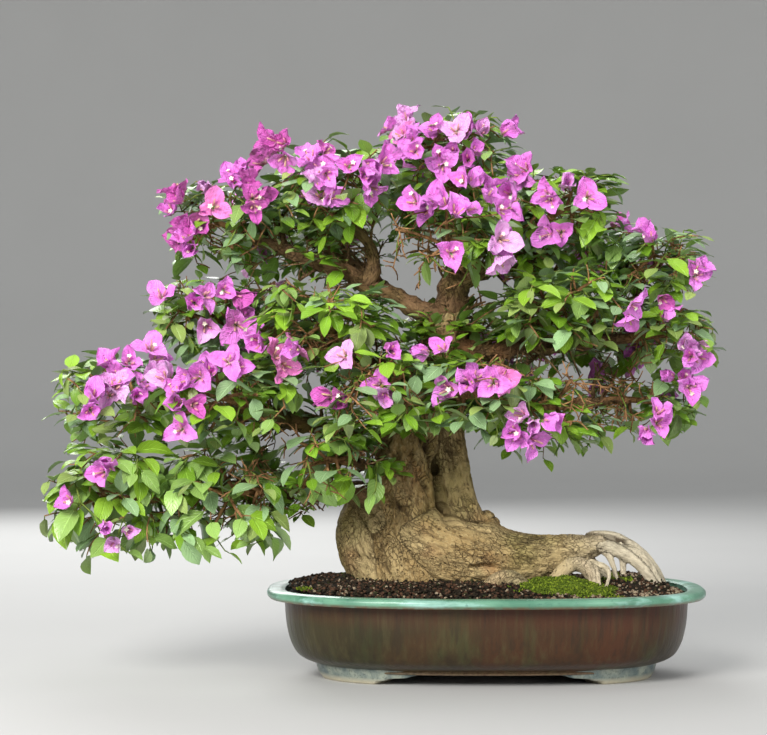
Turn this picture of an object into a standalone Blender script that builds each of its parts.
"""A bougainvillea bonsai in its glazed pot, in metres, +Z up.

The pot stands on four feet and is filled with soil. The trunk is two stems grown together over spreading
roots, from a flat cut at the soil up to its fork. One bough leads from it, or from another bough, to each
mass of the crown. A mass is a solid of twigs, leaves and blossom that branches by a seeded rule inside its
own space. The whole is centred over the origin at the end.
"""

import math
import random
from collections import namedtuple

import bmesh
import bpy
from mathutils import Matrix, Vector

# The clear gap that neighbouring solids keep, and how far one is cut back to keep it.
GAP = 0.0003
FIT = 1.25 * GAP

# The pot: an oval with full sides and a flat lip, standing on four bracket feet. Near the middle of its
# floor the rings have a fixed ratio. The two arches are given by half their widths at top and ground.
POT_LENGTH = 0.436
POT_DEPTH = 0.304
POT_HEIGHT = 0.0885
POT_CENTRE_X = 0.102
POT_FULLNESS = 2.6
POT_SEGMENTS = 28
OVAL_MIDDLE = 0.45
BASE_INSET = 0.050
FOOT_HEIGHT = 0.0105
FOOT_BAND = 0.024
FOOT_TUCK = 0.012
FLOOR_THICK = 0.008
LIP_FACE = 0.0095
LIP_OVERHANG = 0.0175
FRONT_ARCH = (0.072, 0.112)
SIDE_ARCH = (0.010, 0.032)

# The soil: domed from just under the lip to a level top under the trunk.
SOIL_EDGE = 0.0825
SOIL_TOP = 0.0957
SOIL_LEVEL_CENTRE = (0.072, 0.006)
SOIL_LEVEL_REACH = (0.128, 0.088)
SOIL_FALL = 2.2
MOSS_CENTRE = (0.178, -0.083)
MOSS_REACH = (0.050, 0.020, 0.0055)

# The trunk's skin: the cell that blends its limbs, and about how many triangles it keeps.
TRUNK_CELL = 0.005
TRUNK_TRIANGLES = 1500

# Rings along a limb, and how round it is.
TRUNK_RINGS = 9
TRUNK_ROUNDNESS = 4
ROOT_RINGS = 7
BOUGH_RINGS = 5
THIN_ROUNDNESS = 1

# A limb goes through three places, and its radius through three sizes.
Limb = namedtuple("Limb", "start middle end radii")

TRUNK_LIMBS = {
    "left_stem": Limb(
        (0.031, -0.010, 0.088), (0.020, -0.009, 0.200), (0.073, 0.010, 0.372), (0.042, 0.031, 0.016)
    ),
    "right_stem": Limb(
        (0.108, -0.004, 0.090), (0.068, 0.001, 0.204), (0.078, 0.010, 0.345), (0.031, 0.017, 0.012)
    ),
    "left_bulge": Limb(
        (-0.018, 0.004, 0.170), (-0.012, 0.000, 0.132), (0.018, -0.006, 0.085), (0.019, 0.035, 0.031)
    ),
    "front_flare": Limb(
        (-0.004, -0.012, 0.165), (0.085, -0.016, 0.117), (0.214, -0.012, 0.132), (0.026, 0.038, 0.011)
    ),
    "rear_flare": Limb(
        (0.041, 0.015, 0.150), (0.057, 0.042, 0.112), (0.075, 0.064, 0.085), (0.034, 0.027, 0.016)
    ),
    "rear_left_flare": Limb(
        (0.011, 0.015, 0.125), (0.000, 0.045, 0.106), (-0.012, 0.072, 0.086), (0.024, 0.017, 0.009)
    ),
    "rear_right_flare": Limb(
        (0.110, 0.008, 0.118), (0.148, 0.038, 0.106), (0.180, 0.066, 0.086), (0.022, 0.014, 0.008)
    ),
}
SURFACE_ROOTS = {
    "surface_root_back": Limb(
        (0.206, -0.011, 0.135), (0.250, -0.008, 0.125), (0.283, -0.004, 0.080), (0.0095, 0.0072, 0.005)
    ),
    "surface_root_front": Limb(
        (0.203, -0.016, 0.130), (0.246, -0.024, 0.117), (0.272, -0.031, 0.080), (0.0075, 0.0056, 0.0045)
    ),
    "surface_root_arch": Limb(
        (0.158, -0.042, 0.080), (0.190, -0.047, 0.114), (0.212, -0.050, 0.080), (0.006, 0.0078, 0.005)
    ),
    "surface_root_hump": Limb(
        (0.094, -0.066, 0.080), (0.120, -0.070, 0.1015), (0.148, -0.068, 0.080), (0.007, 0.0085, 0.005)
    ),
}

# A mass of the crown: its middle and reach, the limb that its bough leaves and how far along that, the
# bough's two radii, how far its middle is bowed out of line, and the share of the mass's tips in blossom.
Mass = namedtuple("Mass", "centre reach parent along radii bow blossom")

CROWN = {
    "apex": Mass(
        (0.068, -0.012, 0.510), (0.070, 0.082, 0.058), "left_stem", 0.97,
        (0.0125, 0.0070), (0.004, 0.004, 0.0), 0.5,
    ),
    "left_shoulder": Mass(
        (-0.053, -0.036, 0.482), (0.070, 0.078, 0.052), "left_tip", 0.42,
        (0.0062, 0.0046), (0.018, 0.0, 0.0), 0.2,
    ),
    "left_tip": Mass(
        (-0.161, -0.020, 0.448), (0.062, 0.078, 0.050), "left_stem", 0.94,
        (0.0095, 0.0050), (0.0, 0.0, 0.006), 0.4,
    ),
    "right_shoulder": Mass(
        (0.176, -0.030, 0.462), (0.070, 0.080, 0.052), "apex", 0.25,
        (0.0080, 0.0050), (0.0, 0.0, -0.006), 0.5,
    ),
    "right_tip": Mass(
        (0.270, -0.010, 0.408), (0.060, 0.075, 0.046), "right_end", 0.62,
        (0.0058, 0.0044), (-0.004, 0.0, 0.0), 0.25,
    ),
    "right_end": Mass(
        (0.284, 0.000, 0.338), (0.060, 0.072, 0.042), "left_stem", 0.88,
        (0.0100, 0.0052), (0.0, 0.0, -0.004), 0.15,
    ),
    "right_low": Mass(
        (0.262, 0.010, 0.272), (0.066, 0.070, 0.040), "left_stem", 0.74,
        (0.0080, 0.0046), (0.0, 0.004, -0.006), 0.4,
    ),
    "right_middle": Mass(
        (0.170, -0.086, 0.366), (0.074, 0.064, 0.048), "right_end", 0.33,
        (0.0060, 0.0044), (0.0, 0.0, 0.004), 0.05,
    ),
    "crown_front": Mass(
        (0.062, -0.098, 0.428), (0.066, 0.056, 0.050), "apex", 0.30,
        (0.0062, 0.0044), (0.0, 0.0, 0.004), 0.45,
    ),
    "crown_rear_left": Mass(
        (-0.096, 0.122, 0.452), (0.074, 0.080, 0.054), "left_tip", 0.24,
        (0.0062, 0.0046), (0.0, 0.0, 0.004), 0.35,
    ),
    "crown_rear": Mass(
        (0.046, 0.108, 0.496), (0.072, 0.080, 0.058), "apex", 0.45,
        (0.0066, 0.0046), (0.0, 0.0, 0.004), 0.4,
    ),
    "crown_rear_right": Mass(
        (0.184, 0.122, 0.440), (0.074, 0.080, 0.054), "right_shoulder", 0.35,
        (0.0062, 0.0046), (0.0, 0.0, 0.0), 0.35,
    ),
    "rear_right_low": Mass(
        (0.236, 0.120, 0.340), (0.068, 0.072, 0.044), "right_end", 0.38,
        (0.0062, 0.0046), (0.0, 0.0, 0.0), 0.25,
    ),
    "rear_left_low": Mass(
        (-0.122, 0.120, 0.342), (0.078, 0.080, 0.050), "left_middle", 0.18,
        (0.0064, 0.0046), (0.0, 0.0, 0.0), 0.3,
    ),
    "rear_low": Mass(
        (0.092, 0.150, 0.306), (0.074, 0.066, 0.048), "left_stem", 0.72,
        (0.0080, 0.0050), (0.0, 0.0, 0.0), 0.2,
    ),
    "left_middle": Mass(
        (-0.178, -0.030, 0.358), (0.058, 0.078, 0.046), "left_stem", 0.80,
        (0.0090, 0.0048), (0.0, 0.0, 0.004), 0.35,
    ),
    "band": Mass(
        (-0.056, -0.112, 0.346), (0.080, 0.064, 0.048), "left_middle", 0.32,
        (0.0058, 0.0044), (0.0, 0.0, 0.0), 0.1,
    ),
    "left_low": Mass(
        (-0.258, -0.045, 0.276), (0.068, 0.080, 0.050), "left_stem", 0.58,
        (0.0120, 0.0052), (0.0, 0.0, 0.008), 0.5,
    ),
    "left_fall": Mass(
        (-0.266, -0.055, 0.180), (0.074, 0.076, 0.062), "left_stem", 0.40,
        (0.0110, 0.0050), (0.0, 0.0, 0.012), 0.25,
    ),
    "left_front": Mass(
        (-0.150, -0.122, 0.276), (0.074, 0.064, 0.050), "left_low", 0.50,
        (0.0064, 0.0046), (0.0, 0.0, 0.0), 0.55,
    ),
    "left_hang": Mass(
        (-0.146, -0.078, 0.184), (0.070, 0.066, 0.062), "left_fall", 0.42,
        (0.0060, 0.0046), (0.0, 0.0, 0.0), 0.0,
    ),
    "front": Mass(
        (-0.004, -0.148, 0.286), (0.068, 0.060, 0.050), "left_stem", 0.68,
        (0.0080, 0.0048), (0.0, 0.0, 0.0), 0.45,
    ),
    "front_right": Mass(
        (0.080, -0.140, 0.284), (0.062, 0.060, 0.046), "left_stem", 0.71,
        (0.0070, 0.0046), (0.0, 0.0, 0.0), 0.3,
    ),
    "front_fall": Mass(
        (0.162, -0.108, 0.268), (0.062, 0.060, 0.046), "right_low", 0.30,
        (0.0056, 0.0044), (0.0, 0.0, 0.0), 0.45,
    ),
    "trunk_left": Mass(
        (-0.052, -0.098, 0.218), (0.056, 0.052, 0.048), "left_stem", 0.52,
        (0.0060, 0.0044), (0.0, 0.0, 0.0), 0.0,
    ),
}

# A bough ends this far from its mass's middle, as a share of the reach.
BOUGH_ENTRY = 0.62

# How a mass grows. Its stem starts straight, laps over its next part, and ends beyond the mass's middle.
STEM_STRAIGHT = 0.014
STEM_LAP = 0.002
STEM_SHARES = (0.95, 0.86, 0.81)
STEM_THIN = 0.0026
STEM_BEYOND = 0.35

# Twigs fan out to tips spaced over the mass's skin, each from the nearest place on what has grown.
FEWEST_TIPS = 6
TIP_SPACING = 0.0765
TIP_DEPTH = (0.70, 0.84)
TIP_PULLS = (1.0, 0.85, 0.7, 0.55)
TWIG_STARTS = (0.35, 0.6, 0.85)
START_JITTER = 0.06
TURN_BACK_COST = 0.6
TWIG_SHARE = 0.62
TWIG_TAPER = 1.25
TWIG_THIN = 0.0014

# Single leaves: some beside the twigs, and one at a tip that has no room for a whorl.
SIDE_LEAVES = 0.15
SIDE_PLACES = (0.5, 0.8)
SIDE_DROOP = (-0.5, 0.2)
SIDE_SUNK = 0.003
LEAF_LENGTH = 0.060
LEAF_SIZES = (0.85, 1.1)
LEAF_SHRINKS = (1.0, 0.8)
LEAF_WIDTH = 0.56
LEAF_THICK = 0.030
LEAF_WIDEST = -0.24
LEAF_SUNK = 0.008

# What is tried for a whorl, one after another until it fits: its share of its full size, and its lift.
HEAD_TRIES = (
    (1.0, 0.3), (1.0, 0.3), (0.86, 0.3), (0.86, 0.3),
    (0.74, 0.4), (1.0, 1.2), (0.66, 0.4), (0.8, 1.6),
)
LIFT_JITTER = 0.2

# A whorl is a star of lobes: its reach, and as shares of that its notches, the lift of its lobes, and the
# heights of its two middles. It is sunk on its twig's tip by a share of its back.
Whorl = namedtuple("Whorl", "lobes reach notch cup front back")
WHORL_SEAT = 0.45
LEAVES = Whorl(4, 0.046, 0.42, 0.08, 0.03, 0.24)
BRACTS = Whorl(3, 0.032, 0.52, 0.30, 0.04, 0.50)

# The room between masses: heights count for more than widths, so that masses lie in layers.
CELL_FLATNESS = 1.25
CELL_MARGIN = 0.0012
ROOM_SLACK = 1.10
LIMB_MARGIN = 0.003
BEAD_SPACING = 0.006
FEWEST_BEADS = 4

# Colours, as red, green and blue.
GLAZE = (0.060, 0.150, 0.110)
SOIL = (0.060, 0.045, 0.035)
MOSS = (0.090, 0.170, 0.020)
BARK = (0.380, 0.290, 0.180)
ROOT_BARK = (0.560, 0.460, 0.330)
FOLIAGE = (0.110, 0.240, 0.040)
BLOSSOM = (0.720, 0.120, 0.600)


def clear_scene():
    for ob in list(bpy.data.objects):
        bpy.data.objects.remove(ob)


def material(name, colour, roughness):
    made = bpy.data.materials.new(name)
    made.use_nodes = True
    shader = made.node_tree.nodes["Principled BSDF"]
    shader.inputs["Base Color"].default_value = (*colour, 1.0)
    shader.inputs["Roughness"].default_value = roughness
    shader.inputs["Metallic"].default_value = 0.0
    return made


def collection(name):
    made = bpy.data.collections.new(name)
    bpy.context.scene.collection.children.link(made)
    return made


def evaluated_mesh(ob, name):
    graph = bpy.context.evaluated_depsgraph_get()
    return bpy.data.meshes.new_from_object(ob.evaluated_get(graph), depsgraph=graph).copy()


def add_object(name, mesh, group, *materials):
    ob = bpy.data.objects.new(name, mesh)
    for made in materials:
        mesh.materials.append(made)
    group.objects.link(ob)
    return ob


def give_material(ob, made):
    ob.data.materials.clear()
    ob.data.materials.append(made)


def helper_object(name, mesh, group):
    ob = add_object(name, mesh, group)
    ob.hide_render = True
    ob.display_type = "WIRE"
    return ob


def shade_round(mesh, sharpest=math.radians(40)):
    mesh.shade_smooth()
    mesh.set_sharp_from_angle(angle=sharpest)


def applied(ob):
    """The object with its modifiers made part of its mesh."""
    mesh = evaluated_mesh(ob, ob.name)
    ob.modifiers.clear()
    old = ob.data
    ob.data = mesh
    if old.users == 0:
        bpy.data.meshes.remove(old)
    return ob


def turned_mesh(name, profile, group):
    """A closed surface from (radius, height) pairs that run down its outer side, as a full turn."""
    outline = bpy.data.meshes.new(name + "_profile")
    places = [(radius, 0.0, height) for radius, height in profile]
    outline.from_pydata(places, [(i, i + 1) for i in range(len(places) - 1)], [])
    ob = add_object(name + "_turned", outline, group)
    screw = ob.modifiers.new("turn", "SCREW")
    screw.steps = POT_SEGMENTS
    screw.render_steps = POT_SEGMENTS
    screw.use_merge_vertices = True
    screw.merge_threshold = 0.0001
    mesh = evaluated_mesh(ob, name)
    bpy.data.objects.remove(ob)
    return mesh


def made_oval(mesh):
    """Turns round rings into the pot's full oval, each inset from the lip by the same width all round."""
    narrower = (POT_LENGTH - POT_DEPTH) / 2
    for vertex in mesh.vertices:
        x, y, z = vertex.co
        radius = math.hypot(x, y)
        if radius < 1e-6:
            continue
        depth = max(radius - narrower, radius * OVAL_MIDDLE)
        across = x / radius
        along = y / radius
        power = 2 / POT_FULLNESS
        vertex.co.x = math.copysign(abs(across) ** power, across) * radius + POT_CENTRE_X
        vertex.co.y = math.copysign(abs(along) ** power, along) * depth
    return mesh


def welded(mesh, within=1e-6):
    shape = bmesh.new()
    shape.from_mesh(mesh)
    bmesh.ops.remove_doubles(shape, verts=shape.verts, dist=within)
    bmesh.ops.recalc_face_normals(shape, faces=shape.faces)
    shape.to_mesh(mesh)
    shape.free()
    return mesh


def pot_wall():
    """The inner side of the pot, from its rim down to the floor, as (radius, height)."""
    top = POT_LENGTH / 2 - LIP_OVERHANG
    return [
        (top - 0.0005, POT_HEIGHT - 0.0020),
        (top - 0.0050, POT_HEIGHT - 0.0090),
        (top - 0.0095, POT_HEIGHT * 0.45),
        (top - 0.0290, FOOT_HEIGHT + FLOOR_THICK),
    ]


def boolean(ob, operation, others, solver="EXACT"):
    """Joins the other objects to ob, or cuts them from it, and removes them."""
    group = collection("operands")
    for other in others:
        for holder in list(other.users_collection):
            holder.objects.unlink(other)
        group.objects.link(other)
    change = ob.modifiers.new("boolean", "BOOLEAN")
    change.operation = operation
    change.solver = solver
    change.operand_type = "COLLECTION"
    change.collection = group
    applied(ob)
    for other in others:
        bpy.data.objects.remove(other)
    bpy.data.collections.remove(group)
    return ob


def arch_cutter(name, halves, length, along_y, group):
    """The cloud-shaped opening between two feet: wide at the ground, drawn in by a scroll to its top."""
    narrow, wide = halves
    step = FOOT_HEIGHT / 10
    side = [
        (wide + 4 * step, -FOOT_HEIGHT),
        (wide, 0.0),
        (wide - 3 * step, 3 * step),
        (wide - 10 * step, 4 * step),
        (wide - 14 * step, 6 * step),
        (narrow + 8 * step, 7 * step),
        (narrow, FOOT_HEIGHT),
    ]
    outline = [(x, z) for x, z in side] + [(-x, z) for x, z in reversed(side)]
    curve = bpy.data.curves.new(name, "CURVE")
    curve.dimensions = "2D"
    curve.fill_mode = "BOTH"
    curve.extrude = length / 2
    spline = curve.splines.new("POLY")
    spline.points.add(len(outline) - 1)
    for point, (x, z) in zip(spline.points, outline):
        point.co = (x, z, 0.0, 1.0)
    spline.use_cyclic_u = True
    ob = bpy.data.objects.new(name, curve)
    group.objects.link(ob)
    bpy.context.view_layer.update()
    mesh = welded(evaluated_mesh(ob, name))
    bpy.data.objects.remove(ob)
    turn = Matrix.Rotation(math.pi / 2, 4, "X")
    if not along_y:
        turn = Matrix.Rotation(math.pi / 2, 4, "Z") @ turn
    mesh.transform(Matrix.Translation((POT_CENTRE_X, 0.0, 0.0)) @ turn)
    return helper_object(name, mesh, group)


def make_feet(group):
    """A band under the pot's edge, cut by an arch in each side so that four bracket feet stay."""
    outer = POT_LENGTH / 2 - BASE_INSET - 0.003
    under = FOOT_HEIGHT + FLOOR_THICK / 3
    profile = [
        (outer - FOOT_BAND, under),
        (outer, under),
        (outer, FOOT_HEIGHT),
        (outer - 0.5 * FOOT_TUCK, 0.35 * FOOT_HEIGHT),
        (outer - FOOT_TUCK, 0.0),
        (outer - FOOT_BAND, 0.0),
        (outer - FOOT_BAND, under),
    ]
    band = add_object("feet", welded(made_oval(turned_mesh("feet", profile, group))), group)
    cutters = [
        arch_cutter("front_arch", FRONT_ARCH, POT_DEPTH, True, group),
        arch_cutter("side_arch", SIDE_ARCH, POT_LENGTH, False, group),
    ]
    return boolean(band, "DIFFERENCE", cutters)


def make_pot(group, glaze):
    half = POT_LENGTH / 2
    lip_under = POT_HEIGHT - LIP_FACE
    body = half - LIP_OVERHANG
    base = half - BASE_INSET
    outer_side = [
        (half - 0.0075, POT_HEIGHT),
        (half - 0.0020, POT_HEIGHT - 0.0008),
        (half, POT_HEIGHT - 0.0035),
        (half, lip_under + 0.0025),
        (half - 0.0025, lip_under),
        (body, lip_under - 0.0005),
        (body - 0.0012, 0.62 * POT_HEIGHT),
        (body - 0.0050, 0.42 * POT_HEIGHT),
        (body - 0.0115, 0.27 * POT_HEIGHT),
        (body - 0.0210, FOOT_HEIGHT + 0.0075),
        (base - 0.0010, FOOT_HEIGHT + 0.0038),
        (base + 0.0012, FOOT_HEIGHT + 0.0022),
        (base + 0.0008, FOOT_HEIGHT),
    ]
    floor = [(0.0, FOOT_HEIGHT + FLOOR_THICK)]
    profile = floor + pot_wall()[::-1] + outer_side + [(0.0, FOOT_HEIGHT)]
    pot = add_object("pot", welded(made_oval(turned_mesh("pot", profile, group))), group, glaze)
    boolean(pot, "UNION", [make_feet(group)])
    shade_round(pot.data)
    return pot


def soil_height(x, y):
    """The soil's surface: level round the trunk, then falling away to the pot's edge."""
    across = (x - SOIL_LEVEL_CENTRE[0]) / SOIL_LEVEL_REACH[0]
    along = (y - SOIL_LEVEL_CENTRE[1]) / SOIL_LEVEL_REACH[1]
    away = across ** 2 + along ** 2
    share = min(1.0, max(0.0, (away - 1.0) / SOIL_FALL))
    return SOIL_TOP - (SOIL_TOP - SOIL_EDGE) * share


def make_soil(group, earth):
    wall = pot_wall()
    rim_radius, rim_height = wall[0]
    upper_radius, upper_height = wall[1]
    low_radius, low_height = wall[2]
    floor_radius, floor_height = wall[3]
    slope = (rim_radius - upper_radius) / (rim_height - upper_height)
    edge = upper_radius + slope * (SOIL_EDGE - upper_height)
    clear = 1.6 * GAP
    rings = [edge * share for share in (0.0, 0.26, 0.5, 0.68, 0.84)]
    profile = [(ring, SOIL_TOP) for ring in rings]
    profile.append((edge - clear, SOIL_EDGE))
    profile.append((upper_radius - clear, upper_height))
    profile.append((low_radius - clear, low_height))
    profile.append((floor_radius - clear, floor_height + GAP))
    profile.append((0.0, floor_height + GAP))
    mesh = welded(made_oval(turned_mesh("soil", profile, group)))
    for vertex in mesh.vertices:
        if vertex.co.z > SOIL_TOP - GAP:
            vertex.co.z = soil_height(vertex.co.x, vertex.co.y)
    soil = add_object("soil", mesh, group, earth)
    shade_round(soil.data)
    return soil


def passing(values, share):
    """A quadratic that goes through three values, at 0, a half and 1."""
    first, middle, last = values
    return (
        first * (1 - share) * (1 - 2 * share)
        + middle * 4 * share * (1 - share)
        + last * share * (2 * share - 1)
    )


def limb_point(limb, share):
    return passing([Vector(place) for place in limb[:3]], share)


def limb_radius(limb, share):
    return passing(limb.radii, share)


def limb_path(limb, points):
    return [limb_point(limb, i / (points - 1)) for i in range(points)]


def tube_object(name, limb, points, resolution, group):
    """A tapering tube along the limb, as a welded mesh object."""
    curve = bpy.data.curves.new(name, "CURVE")
    curve.dimensions = "3D"
    curve.bevel_depth = 1.0
    curve.bevel_resolution = resolution
    curve.use_fill_caps = True
    spline = curve.splines.new("POLY")
    spline.points.add(points - 1)
    for i, (point, place) in enumerate(zip(spline.points, limb_path(limb, points))):
        point.co = (*place, 1.0)
        point.radius = limb_radius(limb, i / (points - 1))
    ob = bpy.data.objects.new(name, curve)
    group.objects.link(ob)
    bpy.context.view_layer.update()
    mesh = welded(evaluated_mesh(ob, name))
    bpy.data.objects.remove(ob)
    return add_object(name, mesh, group)


def grown_copy(ob, by, group):
    """A copy of a solid whose faces stand out by the gap, for cutting what meets it."""
    mesh = ob.data.copy()
    mesh.transform(ob.matrix_world)
    normals = [vertex.normal.copy() for vertex in mesh.vertices]
    for vertex, normal in zip(mesh.vertices, normals):
        vertex.co += normal * by
    return helper_object(ob.name + "_grown", mesh, group)


def fitted(ob, neighbours, group):
    """Cuts ob back so that it meets each neighbour across the gap."""
    boolean(ob, "DIFFERENCE", [grown_copy(other, FIT, group) for other in neighbours], "MANIFOLD")
    keep_largest_piece(ob.data)
    return ob


def islands(shape):
    """The vertices of each separate piece of a mesh."""
    left = set(shape.verts)
    found = []
    while left:
        ready = [left.pop()]
        piece = []
        while ready:
            vertex = ready.pop()
            piece.append(vertex)
            for edge in vertex.link_edges:
                other = edge.other_vert(vertex)
                if other in left:
                    left.remove(other)
                    ready.append(other)
        found.append(piece)
    return found


def spread(piece):
    low = [min(vertex.co[axis] for vertex in piece) for axis in range(3)]
    high = [max(vertex.co[axis] for vertex in piece) for axis in range(3)]
    return sum(b - a for a, b in zip(low, high))


def keep_largest_piece(mesh):
    """Drops loose scraps, and fills sealed hollows by removing their inner skin."""
    shape = bmesh.new()
    shape.from_mesh(mesh)
    pieces = islands(shape)
    largest = max(pieces, key=spread)
    for piece in pieces:
        if piece is not largest:
            bmesh.ops.delete(shape, geom=piece, context="VERTS")
    shape.to_mesh(mesh)
    shape.free()


def make_trunk(group, bark):
    """The stems and flares joined, blended into one skin, and cut level at the soil."""
    tubes = []
    for name, limb in TRUNK_LIMBS.items():
        tubes.append(tube_object(name, limb, TRUNK_RINGS, TRUNK_ROUNDNESS, group))
    trunk = boolean(tubes[0], "UNION", tubes[1:], "MANIFOLD")
    trunk.name = "trunk"
    blend = trunk.modifiers.new("blend", "REMESH")
    blend.mode = "VOXEL"
    blend.voxel_size = TRUNK_CELL
    soften = trunk.modifiers.new("soften", "SMOOTH")
    soften.factor = 0.5
    soften.iterations = 2
    applied(trunk)
    thin = trunk.modifiers.new("thin", "DECIMATE")
    thin.ratio = TRUNK_TRIANGLES / (2 * len(trunk.data.polygons))
    applied(trunk)
    ground = bmesh.new()
    bmesh.ops.create_cube(ground, size=1.0)
    below = Matrix.Translation((POT_CENTRE_X, 0.0, SOIL_TOP + GAP - 0.5))
    bmesh.ops.transform(ground, matrix=below, verts=ground.verts)
    cut = bpy.data.meshes.new("below_soil")
    ground.to_mesh(cut)
    ground.free()
    boolean(trunk, "DIFFERENCE", [helper_object("below_soil", cut, group)], "MANIFOLD")
    keep_largest_piece(trunk.data)
    give_material(trunk, bark)
    shade_round(trunk.data)
    return trunk


def make_surface_roots(group, trunk, soil, bark):
    roots = []
    for name, limb in SURFACE_ROOTS.items():
        root = tube_object(name, limb, ROOT_RINGS, THIN_ROUNDNESS, group)
        fitted(root, [trunk, soil] + roots, group)
        give_material(root, bark)
        shade_round(root.data)
        roots.append(root)
    return roots


def make_moss(group, soil, roots, green):
    shape = bmesh.new()
    bmesh.ops.create_uvsphere(shape, u_segments=16, v_segments=6, radius=1.0)
    place = Vector((*MOSS_CENTRE, soil_height(*MOSS_CENTRE)))
    size = Matrix.Diagonal((*MOSS_REACH, 1.0))
    bmesh.ops.transform(shape, matrix=Matrix.Translation(place) @ size, verts=shape.verts)
    mesh = bpy.data.meshes.new("moss")
    shape.to_mesh(mesh)
    shape.free()
    moss = add_object("moss", mesh, group, green)
    fitted(moss, [soil] + roots, group)
    shade_round(moss.data)
    return moss


def known_limb(name):
    """The trunk limb of this name, or the bough that leads to the mass of this name."""
    return TRUNK_LIMBS[name] if name in TRUNK_LIMBS else bough_limb(name)


def bough_limb(name):
    """The bough from its parent's middle line to where it enters its mass, bent by the mass's bow."""
    mass = CROWN[name]
    start = limb_point(known_limb(mass.parent), mass.along)
    centre = Vector(mass.centre)
    inward = start - centre
    reach = math.sqrt(sum((part / size) ** 2 for part, size in zip(inward, mass.reach)))
    end = centre + inward * min(1.0, BOUGH_ENTRY / reach)
    middle = (start + end) / 2 + Vector(mass.bow)
    thick, thin = mass.radii
    return Limb(start, middle, end, (thick, 0.55 * thick + 0.45 * thin, thin))


def make_boughs(group, trunk, bark):
    """A bough for each mass, made after the one that carries it, and cut clear of trunk and carrier."""
    boughs = {}
    waiting = list(CROWN)
    while waiting:
        name = waiting.pop(0)
        parent = CROWN[name].parent
        if parent in CROWN and parent not in boughs:
            waiting.append(name)
            continue
        limb = bough_limb(name)
        bough = tube_object(name + "_bough", limb, BOUGH_RINGS, THIN_ROUNDNESS, group)
        neighbours = [trunk] + ([boughs[parent]] if parent in CROWN else [])
        fitted(bough, neighbours, group)
        give_material(bough, bark)
        shade_round(bough.data, math.radians(70))
        boughs[name] = bough
    return boughs


def limb_beads():
    """Points and radii along every limb, which leaves and twigs stay clear of."""
    beads = []
    for limb in list(TRUNK_LIMBS.values()) + [bough_limb(name) for name in CROWN]:
        length = (Vector(limb.end) - Vector(limb.start)).length
        count = max(FEWEST_BEADS, int(length / BEAD_SPACING))
        for i in range(count + 1):
            beads.append((limb_point(limb, i / count), limb_radius(limb, i / count)))
    return beads


class Space:
    """The room that one mass may fill: its reach, short of its neighbours' rooms and clear of all limbs."""

    def __init__(self, name, beads):
        mass = CROWN[name]
        self.centre = Vector(mass.centre)
        self.reach = Vector(mass.reach)
        self.walls = []
        for other, neighbour in CROWN.items():
            if other != name:
                self.walls.append(self.wall_towards(Vector(neighbour.centre)))
        near = ROOM_SLACK * max(mass.reach) + LIMB_MARGIN
        self.beads = [
            (place, radius) for place, radius in beads if (place - self.centre).length < near + radius
        ]

    def wall_towards(self, other):
        """The plane halfway to a neighbour's middle, with heights counted longer than widths."""
        towards = other - self.centre
        towards.z *= CELL_FLATNESS ** 2
        return (self.centre + other) / 2, towards.normalized()

    def inside(self, place):
        away = place - self.centre
        if sum((part / size) ** 2 for part, size in zip(away, self.reach)) > ROOM_SLACK ** 2:
            return False
        return all((place - foot).dot(outward) < -CELL_MARGIN for foot, outward in self.walls)

    def clear(self, place):
        return all((place - bead).length > radius + LIMB_MARGIN for bead, radius in self.beads)

    def holds(self, places):
        return all(self.inside(place) and self.clear(place) for place in places)


def spread_direction(index, count, turn):
    """The index-th of count directions spread evenly over a sphere."""
    height = 1 - 2 * (index + 0.5) / count
    around = index * math.pi * (3 - math.sqrt(5)) + turn
    flat = math.sqrt(1 - height ** 2)
    return Vector((flat * math.cos(around), flat * math.sin(around), height))


def frame_along(place, direction, up):
    """The matrix that takes +Z to the direction, with +X as near to up as it goes."""
    ahead = direction.normalized()
    side = ahead.cross(up)
    if side.length < 1e-4:
        side = ahead.orthogonal()
    side.normalize()
    top = side.cross(ahead)
    turn = Matrix((top, side, ahead)).transposed().to_4x4()
    return Matrix.Translation(place) @ turn


def twig_mesh(start, end, radii, sides=3):
    shape = bmesh.new()
    ahead = end - start
    matrix = frame_along((start + end) / 2, ahead, Vector((0.0, 0.0, 1.0)))
    bmesh.ops.create_cone(
        shape,
        cap_ends=True,
        segments=sides,
        radius1=radii[0],
        radius2=radii[1],
        depth=ahead.length,
        matrix=matrix,
    )
    return shape


def leaf_mesh(root, ahead, up, length):
    """A leaf of eight faces, widest a third of the way along, with its root at the given place."""
    shape = bmesh.new()
    bmesh.ops.create_uvsphere(shape, u_segments=4, v_segments=2, radius=1.0)
    for vertex in shape.verts:
        if abs(vertex.co.z) < 0.5:
            vertex.co.z = LEAF_WIDEST
    size = Matrix.Diagonal((LEAF_THICK * length, LEAF_WIDTH * length / 2, length / 2, 1.0))
    matrix = frame_along(root + ahead.normalized() * length * 0.5, ahead, up) @ size
    bmesh.ops.transform(shape, matrix=matrix, verts=shape.verts)
    return shape


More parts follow.
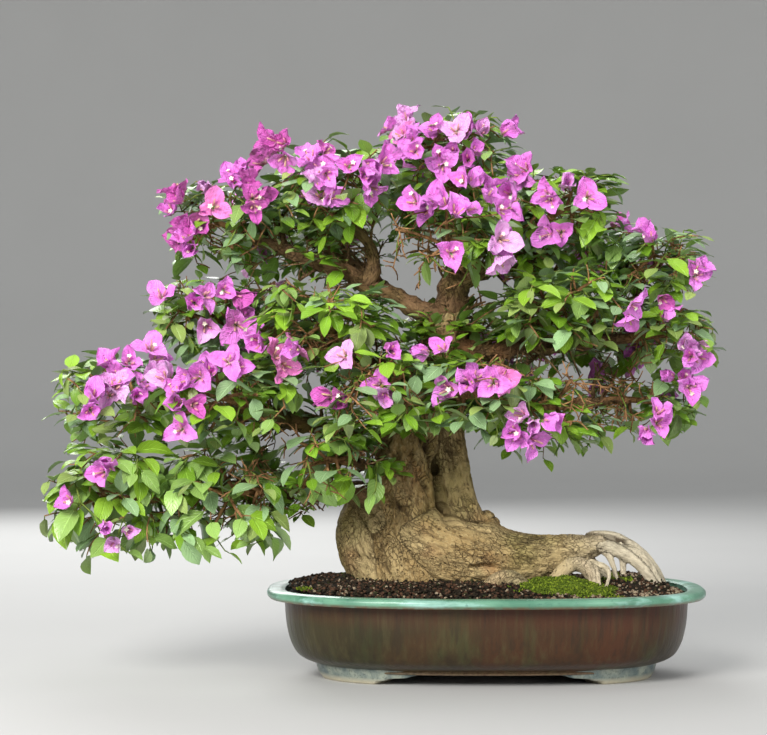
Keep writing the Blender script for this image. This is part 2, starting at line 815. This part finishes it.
def whorl_mesh(kind, root, ahead, turn, reach):
    """A ring of leaves or bracts round a twig's tip: a low cupped star, with its foot on the tip."""
    shape = bmesh.new()
    bmesh.ops.create_uvsphere(shape, u_segments=2 * kind.lobes, v_segments=2, radius=1.0)
    for vertex in shape.verts:
        if vertex.co.z > 0.5:
            vertex.co.z = kind.front
        elif vertex.co.z < -0.5:
            vertex.co.z = -kind.back
        elif round(math.atan2(vertex.co.y, vertex.co.x) * kind.lobes / math.pi) % 2:
            vertex.co = (vertex.co.x * kind.notch, vertex.co.y * kind.notch, kind.cup * kind.notch)
        else:
            vertex.co.z = kind.cup
    place = root + ahead.normalized() * kind.back * reach * WHORL_SEAT
    matrix = frame_along(place, ahead, Vector((0.0, 0.0, 1.0)))
    matrix = matrix @ Matrix.Rotation(turn, 4, "Z") @ Matrix.Scale(reach, 4)
    bmesh.ops.transform(shape, matrix=matrix, verts=shape.verts)
    return shape


def sampled(shape):
    """Places over a small shape: its corners, the middles of its edges and those of its faces."""
    places = [vertex.co.copy() for vertex in shape.verts]
    places += [(edge.verts[0].co + edge.verts[1].co) / 2 for edge in shape.edges]
    places += [face.calc_center_median() for face in shape.faces]
    return places


class Growth:
    """One mass as it grows: its twigs, and the small closed shapes that are joined at the end."""

    def __init__(self, name, space):
        self.name = name
        self.space = space
        self.rng = random.Random(name)
        self.twigs = []
        self.shapes = []

    def keep(self, shape, slot=0):
        for face in shape.faces:
            face.material_index = slot
        mesh = bpy.data.meshes.new(self.name + "_shape")
        shape.to_mesh(mesh)
        shape.free()
        self.shapes.append(mesh)

    def keep_if_held(self, shape, slot=0):
        if self.space.holds(sampled(shape)):
            self.keep(shape, slot)
            return True
        shape.free()
        return False

    def add_stem(self, start, end, radii, sides):
        self.keep(twig_mesh(start, end, radii, sides))
        self.twigs.append((start, end, radii))

    def nearest_start(self, tip):
        """The place on the twigs so far from which a twig reaches the tip soonest without turning back."""
        best = None
        for start, end, radii in self.twigs:
            for place_share in TWIG_STARTS:
                share = place_share + self.rng.uniform(-START_JITTER, START_JITTER)
                place = start.lerp(end, share)
                ahead = tip - place
                along = ahead.normalized().dot((end - start).normalized())
                cost = ahead.length * (1 + TURN_BACK_COST * (1 - along))
                if best is None or cost < best[0]:
                    best = (cost, place, radii[0] + (radii[1] - radii[0]) * share)
        return best[1], best[2]

    def add_twig(self, tip, blossom):
        """A twig out to the tip, kept only if it fits and can end in a whorl or a leaf."""
        place, parent_radius = self.nearest_start(tip)
        thick = max(TWIG_THIN * TWIG_TAPER, TWIG_SHARE * parent_radius)
        shape = twig_mesh(place, tip, (thick, TWIG_THIN))
        fits = self.space.holds(sampled(shape))
        if not fits or not (self.add_head(tip, blossom) or self.add_end_leaf(place, tip)):
            shape.free()
            return False
        self.keep(shape)
        self.twigs.append((place, tip, (thick, TWIG_THIN)))
        return True

    def add_head(self, tip, blossom):
        """A whorl at a twig's tip, of bracts or leaves, made smaller or more level until it fits."""
        outward = (tip - self.space.centre).normalized()
        kind = BRACTS if blossom else LEAVES
        for shrink, lift in HEAD_TRIES:
            ahead = outward + Vector((0.0, 0.0, lift + self.rng.uniform(-LIFT_JITTER, LIFT_JITTER)))
            turn = self.rng.uniform(0, math.tau)
            whorl = whorl_mesh(kind, tip, ahead, turn, kind.reach * shrink)
            if self.keep_if_held(whorl, int(blossom)):
                return True
        return False

    def add_leaf(self, root, ahead, up):
        for shrink in LEAF_SHRINKS:
            length = LEAF_LENGTH * self.rng.uniform(*LEAF_SIZES) * shrink
            if self.keep_if_held(leaf_mesh(root, ahead, up, length)):
                return True
        return False

    def add_end_leaf(self, start, tip):
        """A leaf that carries on from a twig's tip."""
        ahead = (tip - start).normalized()
        return self.add_leaf(tip - ahead * LEAF_SUNK, ahead, Vector((0.1, 0.1, 1.0)))

    def add_side_leaf(self, start, end):
        """A leaf from the side of a twig, its flat side turned out."""
        place = start.lerp(end, self.rng.uniform(*SIDE_PLACES))
        outward = (place - self.space.centre).normalized()
        aside = (end - start).cross(outward + Vector((0.01, 0.02, 0.0))).normalized()
        droop = Vector((0.0, 0.0, self.rng.uniform(*SIDE_DROOP)))
        up = outward + Vector((0.0, 0.0, 0.6))
        for side in (1, -1):
            ahead = (aside * side + outward * 0.5 + droop).normalized()
            if self.add_leaf(place - ahead * SIDE_SUNK, ahead, up):
                return


def skin_area(reach):
    """About the area of an ellipsoid's surface."""
    across, along, high = reach
    return 4 * math.pi * (across * along + along * high + high * across) / 3


def grow_mass(name, beads):
    """The shapes of one mass: a stem from its bough's tip through its heart, and twigs out to its skin."""
    mass = CROWN[name]
    growth = Growth(name, Space(name, beads))
    rng = growth.rng
    bough = bough_limb(name)
    tip = limb_point(bough, 1.0)
    ahead = (tip - limb_point(bough, 0.97)).normalized()
    foot = tip + ahead * 1.5 * GAP
    knee = foot + ahead * STEM_STRAIGHT
    heart = Vector(mass.centre)
    crest = heart + (heart - knee) * STEM_BEYOND
    low, upper, top = [share * mass.radii[1] for share in STEM_SHARES]
    growth.keep(twig_mesh(foot, knee, (low, upper), 5))
    growth.add_stem(knee - ahead * STEM_LAP, crest, (top, STEM_THIN), 4)
    count = max(FEWEST_TIPS, round(skin_area(mass.reach) / TIP_SPACING ** 2))
    turn = rng.uniform(0, math.tau)
    tips = []
    for index in range(count):
        direction = spread_direction(index, count, turn)
        depth = rng.uniform(*TIP_DEPTH)
        away = Vector([part * size for part, size in zip(direction, mass.reach)])
        tips.append(heart + away * depth)
    for place in tips:
        for pull in TIP_PULLS:
            end = heart.lerp(place, pull)
            if growth.add_twig(end, rng.random() < mass.blossom):
                if rng.random() < SIDE_LEAVES:
                    growth.add_side_leaf(*growth.twigs[-1][:2])
                break
    return growth.shapes


def make_mass(name, beads, group, leaf_green, blossom_pink):
    meshes = grow_mass(name, beads)
    shapes = [helper_object(f"{name}_{i}", mesh, group) for i, mesh in enumerate(meshes)]
    mass = shapes[0]
    mass.hide_render = False
    mass.display_type = "TEXTURED"
    for shape in shapes:
        shape.data.materials.append(leaf_green)
        shape.data.materials.append(blossom_pink)
    boolean(mass, "UNION", shapes[1:], "MANIFOLD")
    mass.name = name + "_mass"
    mass.data.name = mass.name
    keep_largest_piece(mass.data)
    return mass


def centre_over_origin(parts, group):
    """Hangs every part on one empty, which puts the middle of the whole over the origin."""
    bpy.context.view_layer.update()
    corners = [ob.matrix_world @ Vector(corner) for ob in parts for corner in ob.bound_box]
    holder = bpy.data.objects.new("bonsai", None)
    group.objects.link(holder)
    for axis in range(2):
        places = [corner[axis] for corner in corners]
        holder.location[axis] = -(min(places) + max(places)) / 2
    for ob in parts:
        ob.parent = holder


def build():
    clear_scene()
    group = collection("bougainvillea_bonsai")
    glaze = material("glaze", GLAZE, 0.25)
    earth = material("soil", SOIL, 0.95)
    green = material("moss", MOSS, 0.95)
    bark = material("bark", BARK, 0.85)
    root_bark = material("root_bark", ROOT_BARK, 0.8)
    leaf_green = material("leaf", FOLIAGE, 0.5)
    blossom_pink = material("blossom", BLOSSOM, 0.6)
    pot = make_pot(group, glaze)
    soil = make_soil(group, earth)
    trunk = make_trunk(group, bark)
    roots = make_surface_roots(group, trunk, soil, root_bark)
    moss = make_moss(group, soil, roots, green)
    boughs = make_boughs(group, trunk, bark)
    beads = limb_beads()
    masses = [make_mass(name, beads, group, leaf_green, blossom_pink) for name in CROWN]
    centre_over_origin([pot, soil, trunk, moss] + roots + list(boughs.values()) + masses, group)


build()
